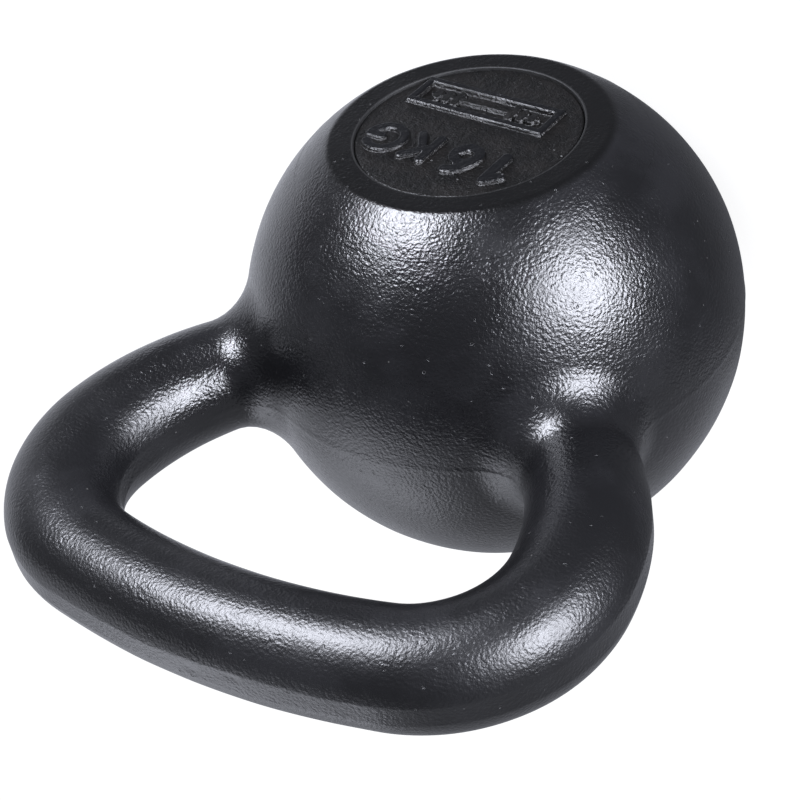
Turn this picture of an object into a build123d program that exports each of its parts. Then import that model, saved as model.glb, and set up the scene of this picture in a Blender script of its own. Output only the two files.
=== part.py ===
from build123d import *
import math
import os

# ---------------------------------------------------------------------------
# A 16 kg kettlebell in grey iron. Millimetres and degrees, +Z up.
# The origin is the centre of the base flat, the front face looks towards -Y,
# and the grip runs along X.
# ---------------------------------------------------------------------------

# Ball
ball_radius = 77.8
base_drop = 70.0            # ball centre above the base flat
base_round = 3.0            # rounding between the base flat and the ball
face_reach = 65.3           # front flat ahead of the ball centre
face_round = 3.2            # rounding between the front flat and the ball

# Handle centreline: a shallow crown, a corner and a leg on each side, all tangent
grip_rise = 149.8           # centreline above the ball centre at mid grip
crown_radius = 221.0
crown_half_width = 49.3     # where the crown meets the corner, from mid grip
corner_radius = 39.6
corner_turn = 84.0
root_lean = 44.7            # where the legs enter the ball, from straight up
root_bury = 14.4            # how deep under the ball's surface each leg ends

# Handle section
grip_diameter = 33.2
horn_swell = 3.2            # extra diameter where the shoulders are thickest
swell_place = 0.64          # thickest place, as a share of the way from mid grip to root
horn_fillet = 11.5          # casting fillet between horn and ball
sections_per_side = 9

# Front plate and its recess
plate_radius = 34.0
plate_thickness = 5.0
plate_sink = 0.7            # plate face behind the front flat
plate_clearance = 0.15
plate_edge = 0.4
recess_edge = 0.5

# Raised figures on the plate, as strokes with round ends
layout_radius = 34.0        # plate radius that the places and sizes of the marks are given for
mark_turn = -5.5            # the figures lean a little, clockwise from the front
relief = 1.1                # height above the plate face
digit_height = 15.4
digit_stroke = 3.3
letter_height = 14.2
letter_stroke = 2.7
baseline = 6.4              # above the plate centre
one_place = -19.4
one_flag = (3.6, 3.0)       # how far the flag of the 1 reaches out and down
six_place = -7.8
six_width = 10.8
k_place = 7.4
k_width = 9.6
k_waist = 0.42              # where the upper arm of the K meets its stem
g_place = 20.6
g_mouth = 42.0              # start of the G's arc, above level

# Framed panel under the figures, with a barbell sign
panel_place = (3.0, -12.7)
panel_width = 49.0
panel_height = 13.6
frame_width = 2.2
panel_sink = 0.5
bar_length = 38.0
bar_stroke = 1.5
disc_stroke = 2.6
disc_heights = (7.6, 6.2, 4.8)
disc_pitch = 3.6
disc_inset = 10.0           # innermost disc, from the middle of the bar

# Trim pocket in the base
trim_radius = 9.0
trim_depth = 30.0
trim_clearance = 0.1
plug_thickness = 8.0
plug_edge = 0.6

# Worked-out sizes and planes
recess_radius = plate_radius + plate_clearance
recess_depth = plate_sink + plate_thickness
crown_turn = math.degrees(math.asin(crown_half_width / crown_radius))
face_plane = Plane(origin=(0, -face_reach, base_drop), x_dir=(1, 0, 0), z_dir=(0, -1, 0))
plate_plane = face_plane.offset(-plate_sink)
BELOW = (Align.CENTER, Align.CENTER, Align.MAX)
ABOVE = (Align.CENTER, Align.CENTER, Align.MIN)


def handle_side():
    """Centreline from mid grip to the root on the +X side, three tangent arcs."""
    crown = JernArc((0, base_drop + grip_rise), (1, 0), crown_radius, -crown_turn)
    corner = JernArc(crown @ 1, crown % 1, corner_radius, -corner_turn)
    lean = math.radians(root_lean)
    reach = ball_radius - root_bury
    root = (reach * math.sin(lean), base_drop + reach * math.cos(lean))
    leg = TangentArc(corner @ 1, root, tangent=corner % 1)
    return Plane.XZ * Wire([crown, corner, leg])


def handle_section(side, share, sign):
    """Round section at a share of the way from mid grip to the root, on either side."""
    swell = math.sin(math.pi / 2 * share / swell_place) ** 4
    place = side @ share
    heading = side % share
    plane = Plane(
        origin=(sign * place.X, 0, place.Z),
        x_dir=(0, 1, 0),
        z_dir=(heading.X, 0, sign * heading.Z),
    )
    return plane * Circle((grip_diameter + horn_swell * swell) / 2)


def make_handle():
    """Round bar of varying diameter, lofted through sections along the centreline."""
    side = handle_side()
    shares = [step / sections_per_side for step in range(sections_per_side + 1)]
    left = [handle_section(side, share, -1) for share in shares[:0:-1]]
    right = [handle_section(side, share, 1) for share in shares]
    return loft(left + right)


def make_ball():
    """Sphere with a front flat and a base flat, both with rounded edges."""
    ball = Pos(0, 0, base_drop) * Sphere(ball_radius)
    ball = split(ball, Plane.XY, Keep.TOP)
    ball = split(ball, face_plane, Keep.BOTTOM)
    ball = fillet(ball.edges().sort_by(Axis.Y)[0], face_round)
    return fillet(ball.edges().sort_by(Axis.Z)[0], base_round)


def make_bell_casting():
    """Ball, horns and grip in one casting, with the plate recess and the trim pocket."""
    ball = make_ball()
    handle = make_handle()
    bell = ball + handle
    bell = fillet(new_edges(ball, handle, combined=bell), horn_fillet)
    bell -= face_plane * Cylinder(recess_radius, recess_depth, align=BELOW)
    front_edges = bell.edges().filter_by(GeomType.CIRCLE).filter_by_position(
        Axis.Y, -face_reach - plate_clearance, -face_reach + plate_clearance
    )
    bell = chamfer(front_edges.sort_by(SortBy.RADIUS)[0], recess_edge)
    return bell - Cylinder(trim_radius, trim_depth, align=ABOVE)


def stroke(start, end, width):
    """Straight stroke with round ends."""
    line = Line(start, end)
    angle = math.degrees(math.atan2((line % 0).Y, (line % 0).X))
    return Pos(line @ 0.5) * Rot(0, 0, angle) * SlotCenterToCenter(line.length, width)


def figure_one():
    """The 1: an upright stem with a short flag."""
    half = digit_stroke / 2
    top = baseline + digit_height - half
    stem = stroke((one_place, baseline + half), (one_place, top), digit_stroke)
    flag_end = (one_place - one_flag[0], top - one_flag[1])
    return stem + stroke((one_place, top), flag_end, digit_stroke)


def figure_six():
    """The 6: a round bowl with one arc rising from its left side over to the right."""
    bowl = six_width / 2
    middle = baseline + bowl
    line_radius = bowl - digit_stroke / 2
    rise = digit_height - digit_stroke / 2 - bowl
    run = 2 * line_radius - digit_stroke / 2
    turn = 2 * math.atan(run / rise)
    start = (six_place - line_radius, middle)
    arc = JernArc(start, (0, 1), rise / math.sin(turn), -math.degrees(turn))
    ring = Pos(six_place, middle) * (Circle(bowl) - Circle(bowl - digit_stroke))
    return ring + SlotArc(arc, digit_stroke)


def letter_k():
    """The K: a stem and two arms."""
    half = letter_stroke / 2
    left = k_place - k_width / 2 + half
    right = k_place + k_width / 2 - half
    low = baseline + half
    high = baseline + letter_height - half
    waist = low + k_waist * (high - low)
    knee = left + (right - left) / 3
    stem = stroke((left, low), (left, high), letter_stroke)
    upper_arm = stroke((left, waist), (right, high), letter_stroke)
    lower_arm = stroke((knee, waist + (high - waist) / 3), (right, low), letter_stroke)
    return stem + upper_arm + lower_arm


def letter_g():
    """The G: an open round arc with a level bar."""
    line_radius = (letter_height - letter_stroke) / 2
    middle = baseline + letter_height / 2
    arc = CenterArc((g_place, middle), line_radius, g_mouth, 360 - g_mouth)
    bar = stroke((g_place + letter_stroke / 2, middle), (g_place + line_radius, middle), letter_stroke)
    return SlotArc(arc, letter_stroke) + bar


def panel_floor():
    """Outline of the sunk floor inside the frame."""
    return Pos(panel_place) * Rectangle(panel_width - 2 * frame_width, panel_height - 2 * frame_width)


def panel_frame():
    """Raised frame around the panel."""
    return Pos(panel_place) * Rectangle(panel_width, panel_height) - panel_floor()


def barbell_sign():
    """A plain barbell: a bar with discs of falling height at each end."""
    sign = stroke((-bar_length / 2, 0), (bar_length / 2, 0), bar_stroke)
    for side in (-1, 1):
        for number, height in enumerate(disc_heights):
            place = side * (disc_inset + number * disc_pitch)
            reach = (height - disc_stroke) / 2
            sign += stroke((place, -reach), (place, reach), disc_stroke)
    return Pos(panel_place) * sign


def on_plate(sketch, height):
    """Marks raised or sunk from the plate's face, scaled to the plate and leaning with the rest."""
    return Rot(0, 0, mark_turn) * extrude(scale(sketch, plate_radius / layout_radius), height)


def make_weight_plate():
    """Round plate with the raised weight figures and the framed panel."""
    plate = Cylinder(plate_radius, plate_thickness, align=BELOW)
    plate = chamfer(plate.edges().sort_by(Axis.Z)[-1], plate_edge)
    plate -= on_plate(panel_floor(), -panel_sink)
    plate += on_plate(figure_one() + figure_six() + letter_k() + letter_g() + panel_frame(), relief)
    plate += Pos(0, 0, -panel_sink) * on_plate(barbell_sign(), relief)
    return plate_plane * plate


def make_base_plug():
    """Plug that closes the trim pocket, flush with the base flat."""
    plug = Cylinder(trim_radius - trim_clearance, plug_thickness, align=ABOVE)
    return chamfer(plug.edges().sort_by(Axis.Z)[0], plug_edge)


def make_trim_slug():
    """Steel slug that brings the bell to its marked weight, between the plug and the pocket's end."""
    length = trim_depth - plug_thickness
    return Pos(0, 0, plug_thickness) * Cylinder(trim_radius - trim_clearance, length, align=ABOVE)


def main():
    os.makedirs("parts", exist_ok=True)
    parts = {
        "bell_casting": make_bell_casting(),
        "weight_plate": make_weight_plate(),
        "trim_slug": make_trim_slug(),
        "base_plug": make_base_plug(),
    }
    for name, part in parts.items():
        export_step(part, f"parts/{name}.step")


main()
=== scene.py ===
import logging
import math
from dataclasses import dataclass
from enum import Enum
from typing import Any, Callable, Sequence

import bpy
import numpy as np
from mathutils import Matrix, Vector


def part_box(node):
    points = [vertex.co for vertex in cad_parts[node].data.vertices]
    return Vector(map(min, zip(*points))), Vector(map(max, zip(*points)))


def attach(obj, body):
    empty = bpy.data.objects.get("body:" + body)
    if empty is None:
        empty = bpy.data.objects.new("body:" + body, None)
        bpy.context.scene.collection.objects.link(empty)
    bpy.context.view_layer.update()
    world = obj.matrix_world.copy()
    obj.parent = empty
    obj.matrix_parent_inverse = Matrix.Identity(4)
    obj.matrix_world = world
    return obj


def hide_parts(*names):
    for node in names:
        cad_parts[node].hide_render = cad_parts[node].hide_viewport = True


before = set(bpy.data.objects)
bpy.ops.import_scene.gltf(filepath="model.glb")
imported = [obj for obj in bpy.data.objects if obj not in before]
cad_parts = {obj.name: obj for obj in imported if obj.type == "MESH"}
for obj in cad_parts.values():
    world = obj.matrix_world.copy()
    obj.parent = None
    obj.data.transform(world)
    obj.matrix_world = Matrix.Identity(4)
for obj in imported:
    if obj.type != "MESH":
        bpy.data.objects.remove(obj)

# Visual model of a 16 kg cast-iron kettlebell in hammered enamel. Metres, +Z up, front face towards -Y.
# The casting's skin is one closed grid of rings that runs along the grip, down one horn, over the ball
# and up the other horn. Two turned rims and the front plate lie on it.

MM = 0.001
MICRON = 1e-6
TINY = 1e-12
RELIEF = 1.1 * MM
PLATE_CLEARANCE = 0.15 * MM
RECESS_EDGE = 0.5 * MM
PLUG_CLEARANCE = 0.1 * MM
PLUG_EDGE = 0.4 * MM
LOG = logging.getLogger("kettlebell")
Array = np.ndarray
Pair = tuple[float, float]
Triple = tuple[float, float, float]
Colour = tuple[float, ...]


class Slot(Enum):
    """Material slots of the record."""

    IRON = "enamelled_iron"
    PLATE = "plate_enamel"
    PLUG = "plug_enamel"
    STEEL = "bare_steel"


# ---------- numbers on whole arrays


def smooth_step(low: float, high: float, x: Array) -> Array:
    """Smooth rise from 0 at low to 1 at high.

    Args:
        low: Where the rise starts.
        high: Where it ends; below low, the step falls instead.
        x: Values to map.

    Returns:
        3t^2 - 2t^3 of each value's clamped share t of the way.
    """
    t = np.clip((x - low) / (high - low), 0.0, 1.0)
    return t * t * (3.0 - 2.0 * t)


def lattice_hash(cell: Array, seed: int) -> Array:
    """Repeatable number from -1 to 1 for each whole-number cell.

    Args:
        cell: Integer cells, with the three coordinates last.
        seed: Picks one pattern.

    Returns:
        One number for each cell, from a product and shift of its coordinates.
    """
    primes = np.array([73856093, 19349663, 83492791], np.int64)
    mixed = (cell * primes).sum(-1) + seed * 2654435761
    mixed = (mixed ^ (mixed >> 13)) * 1274126177 & 0x7FFFFFFF
    mixed = (mixed ^ (mixed >> 16)) & 0xFFFFFF
    return mixed / 0x7FFFFF - 1.0


def soft_noise(points: Array, wavelength: float, seed: int) -> Array:
    """Smooth noise in space: lattice values blended with the smooth step along each axis.

    Args:
        points: Points in metres.
        wavelength: Size of one lattice cell.
        seed: Picks one pattern.

    Returns:
        Values within -1 and 1.
    """
    place = points / wavelength + 1000.0
    cell = np.floor(place).astype(np.int64)
    share = place - cell
    share = share * share * (3.0 - 2.0 * share)
    total = np.zeros(points.shape[:-1])
    for corner in np.ndindex(2, 2, 2):
        offset = np.array(corner)
        weight = np.where(offset == 1, share, 1.0 - share).prod(-1)
        total += weight * lattice_hash(cell + offset, seed)
    return total


def round_join(a: Array, b: Array, radius: float) -> Array:
    """Distance to two solids joined with a fillet.

    Args:
        a: Distance to the first solid, negative inside.
        b: Distance to the second.
        radius: Radius of the fillet.

    Returns:
        The smaller distance, with a hollow quarter circle where the two meet.
    """
    inner = np.hypot(np.maximum(radius - a, 0.0), np.maximum(radius - b, 0.0))
    return np.maximum(np.minimum(a, b), radius) - inner


def round_meet(a: Array, b: Array, radius: float) -> Array:
    """Distance to the common part of two solids, its edge rounded: their outsides joined, turned over."""
    return -round_join(-a, -b, radius)


# ---------- the bell's form


@dataclass(frozen=True)
class Arc:
    """One arc of the handle's centreline in the X-Z plane, turning clockwise from its start heading.

    A point at angle a is the centre plus radius times (sin a, cos a).
    """

    centre: Pair
    radius: float
    start: float
    end: float
    before: float

    @property
    def length(self) -> float:
        """Length of the arc."""
        return self.radius * (self.end - self.start)

    def at(self, angle: Array | float) -> Array:
        """Points (x, z) at the given angles."""
        return np.array(self.centre) + self.radius * np.stack([np.sin(angle), np.cos(angle)], -1)

    def nearest(self, x: Array, z: Array) -> tuple[Array, Array]:
        """Distance in the plane to the arc, and the way along the centreline at the nearest point."""
        angle = np.arctan2(x - self.centre[0], z - self.centre[1])
        angle = np.clip(angle, self.start, self.end)
        foot = self.at(angle)
        return np.hypot(x - foot[..., 0], z - foot[..., 1]), self.before + self.radius * (angle - self.start)


@dataclass(frozen=True)
class BellForm:
    """Sizes of the casting, from the frame where it shows them, and its distance field."""

    ball_radius: float
    ball_height: float
    face_reach: float
    grip_rise: float
    grip_radius: float = 16.6 * MM
    horn_swell: float = 1.6 * MM
    swell_place: float = 0.64
    crown_radius: float = 221.0 * MM
    crown_half_width: float = 49.3 * MM
    corner_radius: float = 39.6 * MM
    corner_turn: float = math.radians(84.0)
    root_lean: float = math.radians(44.7)
    root_bury: float = 14.4 * MM
    horn_fillet: float = 11.5 * MM
    face_round: float = 3.2 * MM
    base_round: float = 3.0 * MM

    @classmethod
    def from_frame(cls) -> "BellForm":
        """Reads the ball, the flat and the grip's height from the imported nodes."""
        low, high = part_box("bell_casting")
        plate_low, plate_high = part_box("weight_plate")
        ball_height = (plate_low.z + plate_high.z) / 2
        return cls(
            ball_radius=high.y,
            ball_height=ball_height,
            face_reach=-low.y,
            grip_rise=high.z - cls.grip_radius - ball_height,
        )

    def arcs(self) -> list[Arc]:
        """Crown, corner and leg of the +X side, each tangent to the one before."""
        crown_turn = math.asin(self.crown_half_width / self.crown_radius)
        crown = Arc((0.0, self.grip_rise - self.crown_radius), self.crown_radius, 0.0, crown_turn, 0.0)
        joint = crown.at(crown_turn)
        heading = np.array([math.sin(crown_turn), math.cos(crown_turn)])
        corner_end = crown_turn + self.corner_turn
        centre = joint - self.corner_radius * heading
        corner = Arc(tuple(centre), self.corner_radius, crown_turn, corner_end, crown.length)
        joint = corner.at(corner_end)
        heading = np.array([math.sin(corner_end), math.cos(corner_end)])
        reach = self.ball_radius - self.root_bury
        chord = reach * np.array([math.sin(self.root_lean), math.cos(self.root_lean)]) - joint
        radius = chord @ chord / (-2.0 * heading @ chord)
        turn = 2.0 * math.asin(math.hypot(*chord) / (2.0 * radius))
        before = corner.before + corner.length
        leg = Arc(tuple(joint - radius * heading), radius, corner_end, corner_end + turn, before)
        return [crown, corner, leg]

    def bar_radius(self, way: Array | float, total: float) -> Array:
        """Radius of the bar at a way along the centreline: the grip's plus the swell at the shoulders."""
        swell = np.sin(math.pi / 2 * np.asarray(way) / total / self.swell_place) ** 4
        return self.grip_radius + self.horn_swell * swell

    def distance(self, points: Array, inset: float = 0.0) -> Array:
        """Distance to the casting, negative inside.

        Args:
            points: Points in the row frame.
            inset: How far both flats are set back, to make room for the turned rims.

        Returns:
            Ball cut by its two flats, joined by a fillet to the round bar of the handle.
        """
        x, y, z = np.abs(points[..., 0]), points[..., 1], points[..., 2] - self.ball_height
        ball = np.sqrt(x * x + y * y + z * z) - self.ball_radius
        body = round_meet(ball, -y - self.face_reach + inset, self.face_round)
        body = round_meet(body, -points[..., 2] + inset, self.base_round)
        arcs = self.arcs()
        total = arcs[-1].before + arcs[-1].length
        bar = np.full(x.shape, np.inf)
        for arc in arcs:
            across, way = arc.nearest(x, z)
            bar = np.minimum(bar, np.hypot(across, y) - self.bar_radius(way, total))
        return round_join(body, bar, self.horn_fillet)

    def slope(self, points: Array, inset: float = 0.0) -> Array:
        """Slope of the field, by central differences over a hundredth of a millimetre each way."""
        step = 10 * MICRON
        sides = [
            self.distance(points + step * axis, inset) - self.distance(points - step * axis, inset)
            for axis in np.eye(3)
        ]
        return np.stack(sides, -1) / (2 * step)

    def normal(self, points: Array, inset: float = 0.0) -> Array:
        """Outward direction of the surface, the field's slope made one long."""
        slope = self.slope(points, inset)
        return slope / np.linalg.norm(slope, axis=-1, keepdims=True).clip(MICRON)

    def settle(self, points: Array, inset: float = 0.0, rounds: int = 6) -> Array:
        """Moves points along the field's slope onto the surface, by Newton steps; inset as for distance."""
        for _ in range(rounds):
            slope = self.slope(points, inset)
            square = (slope * slope).sum(-1).clip(MICRON)
            points = points - (self.distance(points, inset) / square)[..., None] * slope
        return points


@dataclass(frozen=True)
class CastSkin:
    """Small unevenness of the cast and coated surface, laid at or under the true form."""

    ball_radius: float
    ball_height: float
    level: float = 0.20 * MM
    waves: tuple[Pair, ...] = ((24 * MM, 0.11 * MM), (10 * MM, 0.05 * MM))
    seam_height: float = 0.20 * MM
    seam_width: float = 0.8 * MM
    land_half: float = 3.3 * MM
    bar_radius: float = 17.2 * MM
    bar_start: float = 12.0 * MM
    bar_full: float = 24.0 * MM
    knocks: tuple[tuple[float, ...], ...] = (
        (-1.4, 0.5, 236.4, 1.7, 0.32),
        (-14.6, -1.8, 235.6, 1.1, 0.30),
        (88.1, 1.6, 214.0, 1.9, 0.28),
        (-75.7, 0.0, 52.1, 1.6, 0.35),
        (-41.0, -60.1, 90.0, 0.9, 0.26),
        (31.0, 58.0, 110.0, 1.2, 0.30),
        (12.0, 70.0, 40.0, 1.5, 0.30),
        (60.0, -40.0, 42.0, 1.1, 0.28),
    )

    def depth(self, points: Array) -> Array:
        """How far the skin lies under the true form: a level depth less the waves and the seam, never
        below 0, plus the ground land along the bar and the knocks.
        """
        height = np.zeros(points.shape[:-1])
        for seed, (wavelength, amplitude) in enumerate(self.waves):
            height += amplitude * soft_noise(points, wavelength, seed + 11)
        away = np.linalg.norm(points - [0.0, 0.0, self.ball_height], axis=-1) - self.ball_radius
        on_bar = smooth_step(self.bar_start, self.bar_full, away)
        ridge = self.seam(points) * (1.0 - on_bar)
        depth = np.maximum(self.level - height - ridge, 0.0) + on_bar * self.land(points)
        for x, y, z, radius, knock in self.knocks:
            apart = np.linalg.norm(points - np.array([x, y, z]) * MM, axis=-1) / (radius * MM)
            depth += knock * MM * np.exp(-(apart**2))
        return depth

    def seam(self, points: Array) -> Array:
        """Height of the mould seam on the ball, a bell curve across y = 0 that comes and goes along it."""
        across = np.exp(-((points[..., 1] / self.seam_width) ** 2))
        patchy = 0.62 + 0.38 * soft_noise(points * [1.0, 0.0, 1.0], 17 * MM, 5)
        off_base = smooth_step(4 * MM, 16 * MM, points[..., 2])
        return self.seam_height * across * patchy * off_base

    def land(self, points: Array) -> Array:
        """Depth of the strip where the bar's seam was ground off, the sag of a chord across the bar."""
        wander = 1.0 + 0.13 * soft_noise(points * [1.0, 0.0, 1.0], 14 * MM, 6)
        wander += 0.05 * soft_noise(points * [1.0, 0.0, 1.0], 3.5 * MM, 8)
        half = self.land_half * wander
        return np.maximum(half * half - points[..., 1] ** 2, 0.0) / (2.0 * self.bar_radius)


# ---------- meshes


def grid_faces(rows: int, columns: int, closed_rows: bool) -> Array:
    """Corner indices of the quads of a grid that is closed along its columns.

    Args:
        rows: Number of rings.
        columns: Points in each ring.
        closed_rows: Whether the last ring joins the first.

    Returns:
        Four indices for each quad.
    """
    last = rows if closed_rows else rows - 1
    row, column = np.meshgrid(np.arange(last), np.arange(columns), indexing="ij")
    next_row, next_column = (row + 1) % rows, (column + 1) % columns
    corners = [row * columns + column, row * columns + next_column]
    corners += [next_row * columns + next_column, next_row * columns + column]
    return np.stack(corners, -1).reshape(-1, 4)


def enclosed_volume(points: Array, quads: Array) -> float:
    """Signed volume inside a closed mesh of quads, positive when the faces look outwards."""
    a, b, c, d = (points[quads[:, corner]] for corner in range(4))
    return float((a * np.cross(b, c) + a * np.cross(c, d)).sum() / 6)


def put(name: str, data: Any) -> bpy.types.Object:
    """Object with the given data, in the scene."""
    made = bpy.data.objects.new(name, data)
    bpy.context.scene.collection.objects.link(made)
    return made


def make_piece(
    name: str, points: Array, quads: Array, replaced: Sequence[str] = ()
) -> bpy.types.Object:
    """Puts a closed grid into the scene as a piece that rides on the bell.

    Args:
        name: Piece name.
        points: Vertices in the row frame.
        quads: Four indices a face; a face with two equal corners becomes a triangle.
        replaced: CAD nodes that the piece stands for.

    Returns:
        The new object, smooth shaded, with its faces outwards.
    """
    points = points.reshape(-1, 3)
    if enclosed_volume(points, quads) < 0:
        quads = quads[:, ::-1]
    used, quads = np.unique(quads, return_inverse=True)
    quads = quads.reshape(-1, 4)
    faces = [quad if len(set(quad)) == 4 else list(dict.fromkeys(quad)) for quad in quads.tolist()]
    mesh = bpy.data.meshes.new(name)
    mesh.from_pydata(points[used].tolist(), [], faces)
    mesh.polygons.foreach_set("use_smooth", np.ones(len(mesh.polygons), bool))
    mesh.update()
    piece = put(name, mesh)
    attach(piece, "root")
    if replaced:
        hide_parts(*replaced)
    LOG.info("%s: %d points, %d faces", name, len(used), len(faces))
    return piece


def spaced(line: Sequence[Pair], step: float) -> Array:
    """Points along a broken line, each run divided evenly into steps no longer than step."""
    corners = np.array(line)
    runs = []
    for start, end in zip(corners[:-1], corners[1:]):
        count = max(1, math.ceil(np.linalg.norm(end - start) / step))
        share = np.arange(count)[:, None] / count
        runs.append(start + share * (end - start))
    return np.concatenate([*runs, corners[-1:]])


def corner_arc(centre: Pair, radius: float, start: float, end: float, count: int) -> list:
    """Points (radius, height) of an arc about a centre, angles from the radius axis."""
    angles = np.linspace(start, end, count)
    return [(centre[0] + radius * math.cos(a), centre[1] + radius * math.sin(a)) for a in angles]


# ---------- shader expressions


def arithmetic(operation: str, reflected: bool = False) -> Callable[["Value", "Value | float"], "Value"]:
    """Operator of Value that adds a Math node; reflected when the value stands on its right."""

    def operator(value: "Value", other: "Value | float") -> "Value":
        """Adds the node, its two inputs in the order they are written in."""
        return value.graph.math(operation, *((other, value) if reflected else (value, other)))

    return operator


@dataclass(frozen=True)
class Value:
    """A shader socket that takes part in arithmetic; each operation adds its Math node."""

    graph: "Graph"
    socket: bpy.types.NodeSocket

    __add__ = arithmetic("ADD")
    __radd__ = arithmetic("ADD", True)
    __sub__ = arithmetic("SUBTRACT")
    __rsub__ = arithmetic("SUBTRACT", True)
    __mul__ = arithmetic("MULTIPLY")
    __rmul__ = arithmetic("MULTIPLY", True)


class Graph:
    """Node tree with a method for every kind of node that is used."""

    def __init__(self, owner: bpy.types.Material | bpy.types.World) -> None:
        """Empties the tree of a material or a world."""
        self.owner = owner
        owner.use_nodes = True
        self.tree = owner.node_tree
        self.tree.nodes.clear()

    @classmethod
    def finish(cls, name: str) -> "Graph":
        """Graph of a new material."""
        return cls(bpy.data.materials.new(name))

    def node(self, kind: str, settings: dict[str, Any], inputs: dict[str | int, Any]) -> bpy.types.Node:
        """Adds a node.

        Args:
            kind: Blender's node type without ShaderNode in front.
            settings: Attributes, set first.
            inputs: Values or links of the node's sockets.

        Returns:
            The new node.
        """
        made = self.tree.nodes.new("ShaderNode" + kind)
        for key, value in settings.items():
            setattr(made, key, value)
        for key, value in inputs.items():
            if isinstance(value, Value):
                self.tree.links.new(value.socket, made.inputs[key])
            else:
                made.inputs[key].default_value = value
        return made

    def value(self, node: bpy.types.Node, output: str | int = 0) -> Value:
        """One output of a node as a value."""
        return Value(self, node.outputs[output])

    def math(self, operation: str, a: "Value | float", b: "Value | float" = 0.0) -> Value:
        """Math node on two values."""
        return self.value(self.node("Math", {"operation": operation}, {0: a, 1: b}))

    def position(self) -> Value:
        """The point on the piece, in its own coordinates."""
        return self.value(self.node("TexCoord", {}, {}), "Object")

    def split(self, vector: Value) -> tuple[Value, Value, Value]:
        """The three coordinates of a vector."""
        parts = self.node("SeparateXYZ", {}, {0: vector})
        return self.value(parts, 0), self.value(parts, 1), self.value(parts, 2)

    def vector(self, operation: str, a: Value, b: Sequence[float], output: str | int = 0) -> Value:
        """Vector Math node on a vector and a fixed one."""
        return self.value(self.node("VectorMath", {"operation": operation}, {0: a, 1: b}), output)

    def toward(self, vector: Value, direction: Sequence[float]) -> Value:
        """Dot product with a fixed direction, made one long."""
        return self.vector("DOT_PRODUCT", vector, Vector(direction).normalized(), "Value")

    def length(self, vector: Value, scale: Triple) -> Value:
        """Length of a vector whose coordinates are first multiplied by a fixed scale."""
        scaled = self.vector("MULTIPLY", vector, scale)
        return self.value(self.node("VectorMath", {"operation": "LENGTH"}, {0: scaled}), "Value")

    def noise(self, vector: Value, size: float, detail: float = 2.0, roughness: float = 0.5) -> Value:
        """Noise with features of a size in metres, from 0 to 1."""
        inputs = {"Vector": vector, "Scale": 1.0 / size, "Detail": detail, "Roughness": roughness}
        return self.value(self.node("TexNoise", {"noise_dimensions": "3D"}, inputs), "Fac")

    def patches(self, vector: Value, kind: Sequence[float]) -> Value:
        """Noise of a size, detail and roughness, mapped by the smooth rise between two levels."""
        return self.ramp(self.noise(vector, *kind[:3]), *kind[3:])

    def cells(self, vector: Value, size: float) -> Value:
        """Distance to the nearest of scattered points, a size in metres apart."""
        inputs = {"Vector": vector, "Scale": 1.0 / size, "Randomness": 1.0}
        return self.value(self.node("TexVoronoi", {"feature": "F1"}, inputs), "Distance")

    def ramp(self, value: Value, low: float, high: float) -> Value:
        """Smooth rise from 0 at low to 1 at high."""
        inputs = {"Value": value, "From Min": low, "From Max": high}
        settings = {"interpolation_type": "SMOOTHSTEP", "clamp": True}
        return self.value(self.node("MapRange", settings, inputs), "Result")

    def mix(self, share: "Value | float", a: Any, b: Any) -> Value:
        """Colour between a and b."""
        made = self.node("Mix", {"data_type": "RGBA"}, {"Factor": share, 6: a, 7: b})
        return Value(self, made.outputs[2])

    def bump(self, height: Value, distance: float, under: Value | None = None) -> Value:
        """Normal bent by a height; distance is what a height of 1 means in metres."""
        inputs = {"Height": height, "Distance": distance, "Strength": 1.0}
        if under is not None:
            inputs["Normal"] = under
        return self.value(self.node("Bump", {}, inputs))

    def surface(self, inputs: dict[str, Any]) -> bpy.types.Material:
        """Ends the tree in a Principled shader with these inputs, and gives back the material."""
        shader = self.node("BsdfPrincipled", {}, inputs)
        output = self.node("OutputMaterial", {}, {})
        self.tree.links.new(shader.outputs[0], output.inputs[0])
        return self.owner


def grey(level: float, tint: Triple = (1.0, 1.0, 1.0)) -> Colour:
    """Colour of a level, tinted."""
    return (level * tint[0], level * tint[1], level * tint[2], 1.0)


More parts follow.
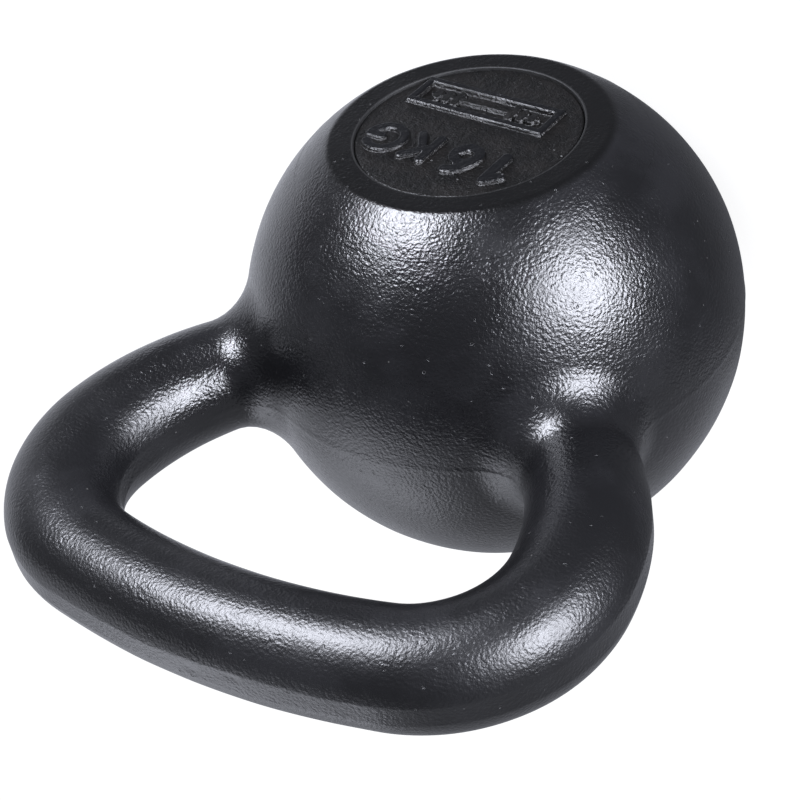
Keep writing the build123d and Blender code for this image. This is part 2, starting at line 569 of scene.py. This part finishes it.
@dataclass(frozen=True)
class HammeredEnamel:
    """Blue-black enamel over fine-grained iron: orange peel, pits, dull patches and a filled joint."""

    name: str = "hammered_enamel"
    tint: Triple = (0.95, 0.95, 1.10)
    dark: float = 0.0030
    pale: float = 0.0056
    flat_dark: float = 0.0009
    gloss: float = 0.22
    dull: float = 0.33
    peel_size: float = 0.95 * MM
    peel_height: float = 0.21 * MM
    bar_smoothness: float = 0.15
    bar_dulling: float = 0.07
    flat_smoothness: float = 0.35
    flat_front: Pair = (63.6 * MM, 64.9 * MM)
    bar_start: float = 146.0 * MM
    bar_full: float = 176.0 * MM
    fine_size: float = 0.38 * MM
    fine_height: float = 0.035 * MM
    patches: Sequence[float] = (11.0 * MM, 3.0, 0.55, 0.30, 0.70)
    weakest_peel: float = 0.70
    patch_peel: float = 0.50
    pit_spacing: float = 5.4 * MM
    pit_span: Pair = (0.10, 0.15)
    pit_wander: float = 0.10
    pit_depth: float = 0.12 * MM
    wear: Sequence[float] = (31.0 * MM, 5.0, 0.62, 0.40, 0.68)
    wear_share: float = 0.6
    chip_spacing: float = 6.1 * MM
    chip_shift: Triple = (0.013, 0.007, 0.002)
    chip_span: Pair = (0.035, 0.055)
    chip_areas: Sequence[float] = (13.0 * MM, 2.0, 0.5, 0.50, 0.60)
    chip_level: float = 0.06
    chip_tint: Triple = (1.0, 0.98, 0.95)
    joint_radius: float = 34.1 * MM
    joint_half: float = 0.55 * MM
    joint_front: float = 60.0 * MM
    joint_tone: float = 0.6
    joint_dulling: float = 0.35
    ball_height: float = 70.0 * MM
    refraction: float = 1.5

    def joint(self, g: Graph, at: Value) -> Value:
        """Share of a paint-filled joint round the front plate, from the distance to the plate's axis."""
        centred = g.vector("ADD", at, (0.0, 0.0, -self.ball_height))
        off = g.math("ABSOLUTE", g.length(centred, (1.0, 0.0, 1.0)) - self.joint_radius)
        front = g.ramp(-1.0 * g.split(at)[1], self.joint_front, self.joint_front + MM)
        return (1.0 - g.ramp(off, self.joint_half, 2.0 * self.joint_half)) * front

    def make(self) -> bpy.types.Material:
        """Builds the material."""
        g = Graph.finish(self.name)
        at = g.position()
        peel = g.noise(at, self.peel_size, 1.0, 0.5)
        fine = g.noise(at, self.fine_size, 2.0, 0.6)
        on_bar = g.ramp(g.split(at)[2], self.bar_start, self.bar_full)
        on_flat = g.ramp(-1.0 * g.split(at)[1], *self.flat_front)
        strong = self.weakest_peel + self.patch_peel * g.patches(at, self.patches)
        strong = strong * (1.0 - self.bar_smoothness * on_bar)
        strong = strong * (1.0 - self.flat_smoothness * on_flat)
        pits = 1.0 - g.ramp(g.cells(at, self.pit_spacing) + self.pit_wander * fine, *self.pit_span)
        normal = g.bump(peel * strong, self.peel_height)
        normal = g.bump(fine, self.fine_height, normal)
        normal = g.bump(1.0 - pits, self.pit_depth, normal)
        wear = g.patches(at, self.wear)
        colour = g.mix(wear, grey(self.dark, self.tint), grey(self.pale, self.tint))
        moved = g.vector("ADD", at, self.chip_shift)
        chips = 1.0 - g.ramp(g.cells(moved, self.chip_spacing), *self.chip_span)
        chips = chips * g.patches(at, self.chip_areas)
        colour = g.mix(chips, colour, grey(self.chip_level, self.chip_tint))
        colour = g.mix(on_flat, colour, grey(self.flat_dark, self.tint))
        joint = self.joint(g, at)
        colour = g.mix(joint, colour, grey(self.dark * self.joint_tone))
        worn = self.wear_share * wear + (1.0 - self.wear_share) * fine
        rough = self.gloss + (self.dull - self.gloss) * worn + self.joint_dulling * joint
        rough = rough + self.bar_dulling * on_bar
        return g.surface({"Base Color": colour, "Roughness": rough, "Normal": normal, "IOR": self.refraction})


@dataclass(frozen=True)
class PlateEnamel:
    """Thin satin black over a coarse sand-cast face, glossier on what stands proud."""

    plate_y: float
    name: str = "sand_cast_enamel"
    relief: float = RELIEF
    grain_size: float = 0.55 * MM
    grain_height: float = 0.21 * MM
    coarse_size: float = 1.3 * MM
    coarse_height: float = 0.30 * MM
    proud_span: Pair = (0.35, 0.85)
    proud_calm: float = 0.45
    blotches: Sequence[float] = (8.0 * MM, 4.0, 0.6, 0.38, 0.66)
    black: Colour = grey(0.0012, (1.05, 1.0, 0.98))
    brown: Colour = grey(0.0032, (1.14, 1.0, 0.92))
    proud_blue: Colour = grey(0.0024, (0.90, 0.95, 1.15))
    speck: Colour = grey(0.12)
    speck_spacing: float = 4.2 * MM
    speck_span: Pair = (0.055, 0.085)
    speck_area_span: Pair = (0.48, 0.58)
    satin: float = 0.33
    proud_gloss: float = 0.09
    grain_dulling: float = 0.10
    refraction: float = 1.40

    def make(self) -> bpy.types.Material:
        """Builds the material."""
        g = Graph.finish(self.name)
        at = g.position()
        out = -1.0 * g.split(at)[1]
        low, high = (share * self.relief - self.plate_y for share in self.proud_span)
        proud = g.ramp(out, low, high)
        calm = 1.0 - self.proud_calm * proud
        grain = g.noise(at, self.grain_size, 2.0, 0.6)
        coarse = g.noise(at, self.coarse_size, 2.0, 0.5)
        normal = g.bump(grain * calm, self.grain_height)
        normal = g.bump(coarse * calm, self.coarse_height, normal)
        blotch = g.patches(at, self.blotches)
        colour = g.mix(blotch, self.black, self.brown)
        colour = g.mix(proud, colour, self.proud_blue)
        specks = 1.0 - g.ramp(g.cells(at, self.speck_spacing), *self.speck_span)
        colour = g.mix(specks * g.ramp(coarse, *self.speck_area_span), colour, self.speck)
        rough = self.satin - self.proud_gloss * proud + self.grain_dulling * (grain - 0.5)
        return g.surface({"Base Color": colour, "Roughness": rough, "Normal": normal, "IOR": self.refraction})


@dataclass(frozen=True)
class PlainSteel:
    """Turned steel of the hidden slug."""

    name: str = "turned_steel"
    streak_size: float = 1.2 * MM
    streak_height: float = 0.02 * MM
    dark: float = 0.45
    pale: float = 0.60
    gloss: float = 0.25
    dulling: float = 0.2

    def make(self) -> bpy.types.Material:
        """Builds the material."""
        g = Graph.finish(self.name)
        at = g.position()
        streak = g.noise(at, self.streak_size, 3.0)
        colour = g.mix(streak, grey(self.dark), grey(self.pale, (1.0, 1.0, 1.02)))
        rough = self.gloss + self.dulling * streak
        normal = g.bump(streak, self.streak_height)
        return g.surface({"Base Color": colour, "Metallic": 1.0, "Roughness": rough, "Normal": normal})


def dress(piece: bpy.types.Object, material: bpy.types.Material) -> None:
    """Gives a piece its one material."""
    piece.data.materials.clear()
    piece.data.materials.append(material)


# ---------- pieces


@dataclass(frozen=True)
class BellSkin:
    """The casting's skin: grip, horns and ball as one closed grid of rings."""

    form: BellForm
    skin: CastSkin
    columns: int = 248
    bar_step: float = 1.55 * MM
    flare_rows: int = 22
    ball_rows: int = 82
    footprint: float = math.radians(24.0)
    flare_clearance: float = 8.0 * MM
    seam_crowding: float = 0.125
    leg_samples: int = 400
    rim_inset: float = 1.6 * MM

    def around(self) -> Array:
        """Angles round a ring, from the outer side, a little closer together at the mould seam."""
        turn = np.arange(self.columns) / self.columns * 2 * math.pi
        return turn - self.seam_crowding * np.sin(2 * turn)

    def bar_rings(self) -> Array:
        """Rings square to the centreline, from mid grip to just above the horn's fillet."""
        arcs = self.form.arcs()
        leg = arcs[-1]
        total = leg.before + leg.length
        angles = np.linspace(leg.start, leg.end, self.leg_samples)
        height = np.hypot(*leg.at(angles).T)
        clear = self.form.ball_radius + self.form.horn_fillet + self.flare_clearance
        stop = leg.before + leg.radius * (angles[np.argmin(np.abs(height - clear))] - leg.start)
        ways = np.linspace(0.0, stop, math.ceil(stop / self.bar_step) + 1)
        places = np.zeros((len(ways), 2))
        headings = np.zeros(len(ways))
        for arc in arcs:
            mine = ways >= arc.before
            angle = arc.start + (ways - arc.before) / arc.radius
            places[mine] = arc.at(angle)[mine]
            headings[mine] = angle[mine]
        v = self.around()
        radius = self.form.bar_radius(ways, total)[:, None]
        out = radius * np.cos(v)
        x = places[:, :1] + out * np.sin(headings)[:, None]
        z = places[:, 1:] + out * np.cos(headings)[:, None]
        return np.stack([x, radius * np.sin(v), z + self.form.ball_height], -1)

    def ball_circle(self, lean: Array, spread: Array) -> Array:
        """Circles on the ball, each a spread away from an axis that leans from +Z to +X."""
        lean, spread = np.asarray(lean)[:, None], np.asarray(spread)[:, None]
        v = self.around()
        along, out = np.cos(spread), np.sin(spread) * np.cos(v)
        x = along * np.sin(lean) + out * np.cos(lean)
        z = along * np.cos(lean) - out * np.sin(lean)
        y = np.sin(spread) * np.sin(v) + 0 * lean
        return self.form.ball_radius * np.stack([x, y, z], -1) + [0.0, 0.0, self.form.ball_height]

    def rings(self) -> Array:
        """All rings in order: +X side from mid grip to the ball's middle circle, then the -X side back."""
        bar = self.bar_rings()
        share = np.arange(1, self.ball_rows + 1) / self.ball_rows
        lean = self.form.root_lean + (math.pi / 2 - self.form.root_lean) * share
        spread = self.footprint + (math.pi / 2 - self.footprint) * share
        foot = self.ball_circle([self.form.root_lean], [self.footprint])
        blend = (np.arange(1, self.flare_rows) / self.flare_rows)[:, None, None]
        flare = bar[-1] + blend * (foot[0] - bar[-1])
        right = np.concatenate([bar, flare, foot, self.ball_circle(lean, spread)])
        right = self.form.settle(right, self.rim_inset)
        right[[0, -1], :, 0] = 0.0
        left = right[-2:0:-1] * [-1.0, 1.0, 1.0]
        return np.concatenate([right, left])

    def build(self) -> bpy.types.Object:
        """Makes the skin and lays the cast unevenness on it."""
        rings = self.rings()
        normal = self.form.normal(rings, self.rim_inset)
        rings = rings - self.skin.depth(rings)[..., None] * normal
        quads = grid_faces(rings.shape[0], rings.shape[1], True)
        return make_piece("bell_skin", rings, quads, ["bell_casting"])


@dataclass(frozen=True)
class TurnedRim:
    """A closed ring that carries one flat of the ball with its rounded edge and its bore.

    Its profile runs along the ball, over the rounding, across the flat, over the bore's edge, down the
    bore and back inside the casting.
    """

    name: str
    form: BellForm
    skin: CastSkin
    reach: float
    rounding: float
    bore: float
    bore_edge: float
    bore_depth: float
    front: bool
    lap: float = 14.0 * MM
    dip: float = 5.0 * MM
    tuck: float = 0.05 * MM
    lift: float = 0.03 * MM
    step: float = 0.55 * MM
    thickness: float = 3.0 * MM
    columns: int = 540
    lap_points: int = 24
    round_points: int = 9
    lip_points: int = 6

    def profile(self) -> tuple[Array, int]:
        """Closed profile of (radius, height from the ball's centre), and how many points are shown."""
        ball = self.form.ball_radius
        hub_height = self.reach - self.rounding
        hub = (math.sqrt((ball - self.rounding) ** 2 - hub_height**2), hub_height)
        tangent = math.atan2(hub[1], hub[0])
        lap_angle = tangent - self.lap / ball
        angles = np.linspace(lap_angle, tangent, self.lap_points)
        over = smooth_step(0.0, self.dip, (angles - lap_angle) * ball)
        reach = ball - self.tuck + (self.tuck + self.lift) * over
        outer = list(zip(reach * np.cos(angles), reach * np.sin(angles)))
        outer += corner_arc(hub, self.rounding + self.lift, tangent, math.pi / 2, self.round_points)[1:]
        edge = (self.bore + self.bore_edge, self.reach + self.lift - self.bore_edge)
        lip = corner_arc(edge, self.bore_edge, math.pi / 2, math.pi, self.lip_points)
        floor = self.reach - self.bore_depth
        inner = [(self.bore, floor), (self.bore + self.thickness, floor), (hub[0], floor)]
        under = ball - self.thickness
        last = (under * math.cos(lap_angle), under * math.sin(lap_angle))
        top = spaced([outer[-1], lip[0]], self.step)[1:-1]
        wall = spaced([lip[-1], *inner, last, outer[0]], 2 * self.step)[1:-1]
        return np.concatenate([outer, top, lip, wall]), len(outer) + len(top) + len(lip)

    def place(self, radius: Array, height: Array, angle: Array) -> Array:
        """Puts the profile round the -Y axis for the front rim, or round the -Z axis for the base."""
        across, other = radius * np.cos(angle), radius * np.sin(angle)
        if self.front:
            return np.stack([across, -height, other + self.form.ball_height], -1)
        return np.stack([across, other, self.form.ball_height - height], -1)

    def build(self, slot: Slot) -> bpy.types.Object:
        """Makes the rim; its shown side is lowered along the profile's normal by the skin's depth."""
        profile, shown = self.profile()
        along = np.roll(profile, -1, axis=0) - np.roll(profile, 1, axis=0)
        along /= np.linalg.norm(along, axis=1, keepdims=True)
        outward = np.stack([along[:, 1], -along[:, 0]], -1)
        outward *= np.sign((outward[:shown] * profile[:shown]).sum())
        angle = np.arange(self.columns) / self.columns * 2 * math.pi
        radius, height = profile[:, :1] + 0 * angle, profile[:, 1:] + 0 * angle
        depth = self.skin.depth(self.place(radius, height, angle))
        depth[shown:] = 0.0
        points = self.place(radius - outward[:, :1] * depth, height - outward[:, 1:] * depth, angle)
        return make_piece(self.name, points, grid_faces(*points.shape[:2], True))


# ---------- marks on the plate


@dataclass(frozen=True)
class Stroke:
    """Straight stroke with round ends, in the plate's plane."""

    start: Pair
    end: Pair
    width: float

    def distance(self, x: Array, z: Array) -> Array:
        """Distance to the nearest point of the line, less half the width."""
        start, end = np.array(self.start), np.array(self.end)
        run = end - start
        along = (x - start[0]) * run[0] + (z - start[1]) * run[1]
        share = np.clip(along / max(run @ run, TINY), 0, 1)
        return np.hypot(x - start[0] - share * run[0], z - start[1] - share * run[1]) - self.width / 2


@dataclass(frozen=True)
class Bow:
    """Curved stroke along an arc, angles anticlockwise from +X."""

    centre: Pair
    radius: float
    start: float
    end: float
    width: float

    def distance(self, x: Array, z: Array) -> Array:
        """Distance to the nearest point of the arc, less half the width."""
        middle = (self.start + self.end) / 2
        half = (self.end - self.start) / 2
        angle = np.arctan2(z - self.centre[1], x - self.centre[0]) - middle
        angle = (angle + math.pi) % (2 * math.pi) - math.pi
        angle = np.clip(angle, -half, half) + middle
        foot_x = self.centre[0] + self.radius * np.cos(angle)
        foot_z = self.centre[1] + self.radius * np.sin(angle)
        return np.hypot(x - foot_x, z - foot_z) - self.width / 2


@dataclass(frozen=True)
class PlateMarks:
    """Raised 16 KG and the framed panel with a barbell sign, in millimetres on the plate."""

    turn: float = math.radians(-5.5)
    baseline: float = 6.4
    digit_height: float = 15.4
    digit_stroke: float = 3.3
    letter_height: float = 14.2
    letter_stroke: float = 2.7
    one_place: float = -19.4
    one_flag: Pair = (3.6, 3.0)
    six_place: float = -7.8
    six_width: float = 10.8
    k_place: float = 7.4
    k_width: float = 9.6
    k_waist: float = 0.42
    g_place: float = 20.6
    g_mouth: float = math.radians(42.0)
    panel_place: Pair = (3.0, -12.7)
    panel_size: Pair = (49.0, 13.6)
    frame_width: float = 2.2
    bar_length: float = 38.0
    bar_stroke: float = 1.5
    disc_stroke: float = 2.6
    disc_heights: tuple[float, ...] = (7.6, 6.2, 4.8)
    disc_pitch: float = 3.6
    disc_inset: float = 10.0
    shoulder_reach: float = 0.22
    shoulder_foot: float = 0.35
    floor_span: Pair = (0.25, -0.45)

    def digits(self) -> list[Stroke | Bow]:
        """Strokes of the 1 and the 6."""
        half = self.digit_stroke / 2
        low, high = self.baseline + half, self.baseline + self.digit_height - half
        one = self.one_place
        flag = (one - self.one_flag[0], high - self.one_flag[1])
        bowl = self.six_width / 2 - half
        middle = self.baseline + self.six_width / 2
        rise, run = high - middle, 2 * bowl - half
        turn = 2 * math.atan(run / rise)
        sweep = rise / math.sin(turn)
        return [
            Stroke((one, low), (one, high), self.digit_stroke),
            Stroke((one, high), flag, self.digit_stroke),
            Bow((self.six_place, middle), bowl, 0.0, 2 * math.pi, self.digit_stroke),
            Bow((self.six_place - bowl + sweep, middle), sweep, math.pi - turn, math.pi, self.digit_stroke),
        ]

    def letters(self) -> list[Stroke | Bow]:
        """Strokes of the K and the G."""
        width = self.letter_stroke
        low, high = self.baseline + width / 2, self.baseline + self.letter_height - width / 2
        left, right = self.k_place - (self.k_width - width) / 2, self.k_place + (self.k_width - width) / 2
        waist = low + self.k_waist * (high - low)
        knee = (left + (right - left) / 3, waist + (high - waist) / 3)
        radius = (self.letter_height - width) / 2
        middle = self.baseline + self.letter_height / 2
        return [
            Stroke((left, low), (left, high), width),
            Stroke((left, waist), (right, high), width),
            Stroke(knee, (right, low), width),
            Bow((self.g_place, middle), radius, self.g_mouth, 2 * math.pi, width),
            Stroke((self.g_place + width / 2, middle), (self.g_place + radius, middle), width),
        ]

    def sign(self) -> list[Stroke | Bow]:
        """Strokes of the barbell, a bar with three discs at each end."""
        x, z = self.panel_place
        strokes = [Stroke((x - self.bar_length / 2, z), (x + self.bar_length / 2, z), self.bar_stroke)]
        for side in (-1, 1):
            for number, height in enumerate(self.disc_heights):
                place = x + side * (self.disc_inset + number * self.disc_pitch)
                reach = (height - self.disc_stroke) / 2
                strokes.append(Stroke((place, z - reach), (place, z + reach), self.disc_stroke))
        return strokes

    def box_distance(self, x: Array, z: Array, inset: float) -> Array:
        """Distance to the panel's rectangle, made smaller by an inset on every side."""
        across = np.abs(x - self.panel_place[0]) - self.panel_size[0] / 2 + inset
        up = np.abs(z - self.panel_place[1]) - self.panel_size[1] / 2 + inset
        return np.hypot(np.maximum(across, 0), np.maximum(up, 0)) + np.minimum(np.maximum(across, up), 0)

    def height(self, x: Array, z: Array, relief: float, panel_sink: float, edge: float) -> Array:
        """Height of the marks above the plate's face, in millimetres.

        Args:
            x: Places across the plate, in millimetres.
            z: Places up the plate.
            relief: Height of the raised marks.
            panel_sink: Depth of the panel's floor.
            edge: Width of the rounded shoulder of each mark.

        Returns:
            The floor, 0 outside the panel, plus the way up to the relief times the share climbed of the
            shoulder. The sign rises by the relief from the floor.
        """
        across = x * math.cos(self.turn) + z * math.sin(self.turn)
        up = z * math.cos(self.turn) - x * math.sin(self.turn)

        def raised(distance: Array) -> Array:
            """Share of the full height, from a distance that is negative inside a mark."""
            t = np.clip((self.shoulder_reach - distance) / edge, 0, 1)
            return np.sqrt(np.maximum(1 - (1 - t) ** 2, 0)) * smooth_step(0, self.shoulder_foot, t)

        figures = np.min([s.distance(across, up) for s in self.digits() + self.letters()], axis=0)
        inside = self.box_distance(across, up, self.frame_width)
        frame_edge = np.maximum(self.box_distance(across, up, 0.0), -inside)
        sign = np.min([s.distance(across, up) for s in self.sign()], axis=0)
        floor = -panel_sink * smooth_step(*self.floor_span, inside)
        share = np.maximum(raised(figures), raised(frame_edge))
        return floor + np.maximum((relief - floor) * share, relief * raised(sign))


@dataclass(frozen=True)
class WeightPlate:
    """The front plate: a fine round grid whose height carries the marks and the sand-cast grain."""

    marks: PlateMarks
    radius: float
    centre: float
    face: float
    back: float
    relief: float = RELIEF
    panel_sink: float = 0.5 * MM
    edge: float = 0.5 * MM
    rim: float = 0.4 * MM
    columns: int = 720
    rows: int = 132
    grain: tuple[Pair, ...] = ((2.4 * MM, 0.05 * MM), (1.1 * MM, 0.07 * MM))

    def build(self) -> bpy.types.Object:
        """Makes the plate: rings from the middle out, over the rim, down the wall and across the back."""
        share = np.arange(self.rows + 1) / self.rows
        flat = (self.radius - self.rim) * share
        wall = [self.radius, self.radius, self.radius / 2, 0.0]
        radius = np.concatenate([flat, wall])[:, None]
        angle = np.arange(self.columns) / self.columns * 2 * math.pi
        x, z = radius * np.cos(angle), radius * np.sin(angle)
        sizes = (self.relief / MM, self.panel_sink / MM, self.edge / MM)
        height = self.marks.height(x / MM, z / MM, *sizes) * MM
        place = np.stack([x, np.full(x.shape, -self.face), z + self.centre], -1)
        for seed, (wavelength, amplitude) in enumerate(self.grain):
            sunk = soft_noise(place, wavelength, seed + 31) - 1.0
            height += amplitude * sunk * (1 - 0.5 * height / self.relief)
        y = -self.face - height
        y[self.rows + 1] = -self.face + self.rim
        y[self.rows + 2:] = -self.back
        points = np.stack([x, y, z + self.centre], -1)
        quads = grid_faces(*points.shape[:2], False)
        first, last = 0, (len(radius) - 1) * self.columns
        quads[quads < self.columns] = first
        quads[quads >= last] = last
        return make_piece("weight_plate_face", points, quads, ["weight_plate"])


# ---------- studio


@dataclass(frozen=True)
class Lamp:
    """Square soft lamp: where it stands as seen from the ball, how far, its size and its power in watts."""

    name: str
    direction: Triple
    size: float
    power: float
    far: float = 0.9


@dataclass(frozen=True)
class Studio:
    """Floor, sky and lamps round the bell, and the camera."""

    form: BellForm
    camera_place: Triple = (-3.639, -4.811, 5.284)
    camera_right: Triple = (-0.843, 0.149, -0.517)
    camera_look: Triple = (0.484, 0.631, -0.607)
    lens: float = 89.2
    floor_size: float = 12.0
    lying_up: Triple = (0.090, -0.893, -0.441)
    hollow_way: Triple = (-0.121, -0.450, 0.885)
    wall_way: Triple = (0.854, 0.234, -0.457)
    room: float = 0.19
    table: float = 0.50
    table_left: float = 0.50
    left_way: Triple = (0.871, -0.144, 0.469)
    wall: float = 0.80
    paper: float = 1.0
    # Painted contact shadow on the floor: full up to the first radius from the bell's axis, gone by the
    # second, with the glow dimmed to the third number at its darkest.
    painted_contact_shadow: Triple = (22.0 * MM, 78.0 * MM, 0.80)
    cool: Colour = (0.94, 0.965, 1.07, 1.0)
    floor_level: float = 0.10
    floor_glow: float = 0.97
    below_span: Pair = (-0.34, -0.20)
    hollow_span: Pair = (0.50, 0.62)
    wall_span: Pair = (0.76, 0.88)
    left_span: Pair = (-0.05, 0.50)
    lamps: tuple[Lamp, ...] = (
        Lamp("front_softbox", (0.362, -0.874, 0.325), 0.42, 18.0),
        Lamp("side_softbox", (-0.856, -0.492, 0.157), 0.48, 22.5),
        Lamp("back_softbox", (0.36, 0.70, 0.62), 0.50, 1.2),
    )

    def centre(self) -> Vector:
        """Middle of the ball."""
        return Vector((0.0, 0.0, self.form.ball_height))

    def add_camera(self) -> None:
        """Camera given in ball radii from the ball, rolled so that the bell lies across the picture."""
        data = bpy.data.cameras.new("camera")
        data.sensor_width = 36.0
        data.lens = self.lens
        data.clip_start = 0.01
        camera = put("camera", data)
        right = Vector(self.camera_right).normalized()
        back = -Vector(self.camera_look).normalized()
        up = back.cross(right).normalized()
        right = up.cross(back)
        place = self.centre() + self.form.ball_radius * Vector(self.camera_place)
        turn = Matrix((right, up, back)).transposed().to_4x4()
        camera.matrix_world = Matrix.Translation(place) @ turn
        bpy.context.scene.camera = camera

    def add_lamp(self, lamp: Lamp) -> None:
        """Puts up a lamp that looks at the ball."""
        data = bpy.data.lights.new(lamp.name, "AREA")
        data.shape = "RECTANGLE"
        data.size = data.size_y = lamp.size
        data.energy = lamp.power
        data.color = self.cool[:3]
        piece = put(lamp.name, data)
        way = Vector(lamp.direction).normalized()
        piece.location = self.centre() + lamp.far * way
        piece.rotation_mode = "QUATERNION"
        piece.rotation_quaternion = way.to_track_quat("Z", "Y")

    def add_floor(self) -> None:
        """Pale floor under the bell, with a bright even tone, a faint real shadow and a painted contact
        shadow: its glow is dimmed round the bell's foot.
        """
        half = self.floor_size / 2
        mesh = bpy.data.meshes.new("studio_floor")
        corners = [(-half, -half, 0.0), (half, -half, 0.0), (half, half, 0.0), (-half, half, 0.0)]
        mesh.from_pydata(corners, [], [(0, 1, 2, 3)])
        floor = put("studio_floor", mesh)
        g = Graph.finish("studio_paper")
        # Painted contact shadow: the glow's colour falls to the darkest share near the bell's axis and rises
        # to white further out.
        near, far, shade = self.painted_contact_shadow
        off = g.length(g.position(), (1.0, 1.0, 0.0))
        tone = g.mix(g.ramp(off, near, far), grey(shade), grey(1.0))
        dress(floor, g.surface({
            "Base Color": grey(self.floor_level), "Roughness": 1.0, "Specular IOR Level": 0.0,
            "Emission Color": tone, "Emission Strength": self.floor_glow,
        }))
        floor.visible_glossy = False
        floor.visible_diffuse = False

    def add_sky(self) -> None:
        """Soft surroundings for a bell that lies in a dark room with a pale table and a pale wall.

        The sum of a dark level, the table below, less a dark hollow in front, and the wall behind; the
        camera itself sees an even pale tone.
        """
        world = bpy.data.worlds.new("studio_sky")
        g = Graph(world)
        way = g.value(g.node("TexCoord", {}, {}), "Generated")
        below = 1.0 - g.ramp(g.toward(way, self.lying_up), *self.below_span)
        hollow = 1.0 - g.ramp(g.toward(way, self.hollow_way), *self.hollow_span)
        wall = g.ramp(g.toward(way, self.wall_way), *self.wall_span)
        table = self.table + self.table_left * g.ramp(g.toward(way, self.left_way), *self.left_span)
        light = self.room + (table - self.room) * below * hollow + self.wall * wall * (1.0 - below)
        seen = g.value(g.node("LightPath", {}, {}), "Is Camera Ray")
        colour = g.mix(seen, self.cool, grey(1.0))
        strength = light * (1.0 - seen) + self.paper * seen
        background = g.node("Background", {}, {"Color": colour, "Strength": strength})
        output = g.node("OutputWorld", {}, {})
        g.tree.links.new(background.outputs[0], output.inputs[0])
        bpy.context.scene.world = world

    def build(self) -> None:
        """Sets everything up."""
        self.add_camera()
        self.add_floor()
        self.add_sky()
        for lamp in self.lamps:
            self.add_lamp(lamp)
        bpy.context.scene.view_settings.view_transform = "Standard"


def write_sizes() -> None:
    """Brings the scene's transforms up to date."""
    bpy.context.view_layer.update()


def main() -> None:
    """Builds the bell piece by piece, then the studio."""
    logging.basicConfig(level=logging.INFO, format="%(name)s %(message)s")
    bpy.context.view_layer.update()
    form = BellForm.from_frame()
    skin = CastSkin(form.ball_radius, form.ball_height)
    enamel = HammeredEnamel().make()
    dress(BellSkin(form, skin).build(), enamel)

    plate_low, plate_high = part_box("weight_plate")
    plate = WeightPlate(
        PlateMarks(), plate_high.x, form.ball_height, -plate_low.y - RELIEF, -plate_high.y
    )
    front = TurnedRim(
        "front_rim", form, skin, form.face_reach, form.face_round,
        plate_high.x + PLATE_CLEARANCE, RECESS_EDGE, form.face_reach + plate_high.y, True,
    )
    dress(front.build(Slot.IRON), enamel)
    dress(plate.build(), PlateEnamel(plate_y=-plate.face).make())

    plug_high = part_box("base_plug")[1]
    base = TurnedRim(
        "base_rim", form, skin, form.ball_height, form.base_round,
        plug_high.x + PLUG_CLEARANCE, PLUG_EDGE, plug_high.z, False,
    )
    dress(base.build(Slot.IRON), enamel)
    dress(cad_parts["base_plug"], enamel)
    dress(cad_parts["trim_slug"], PlainSteel().make())
    Studio(form).build()
    write_sizes()


if __name__ == "__main__":
    main()
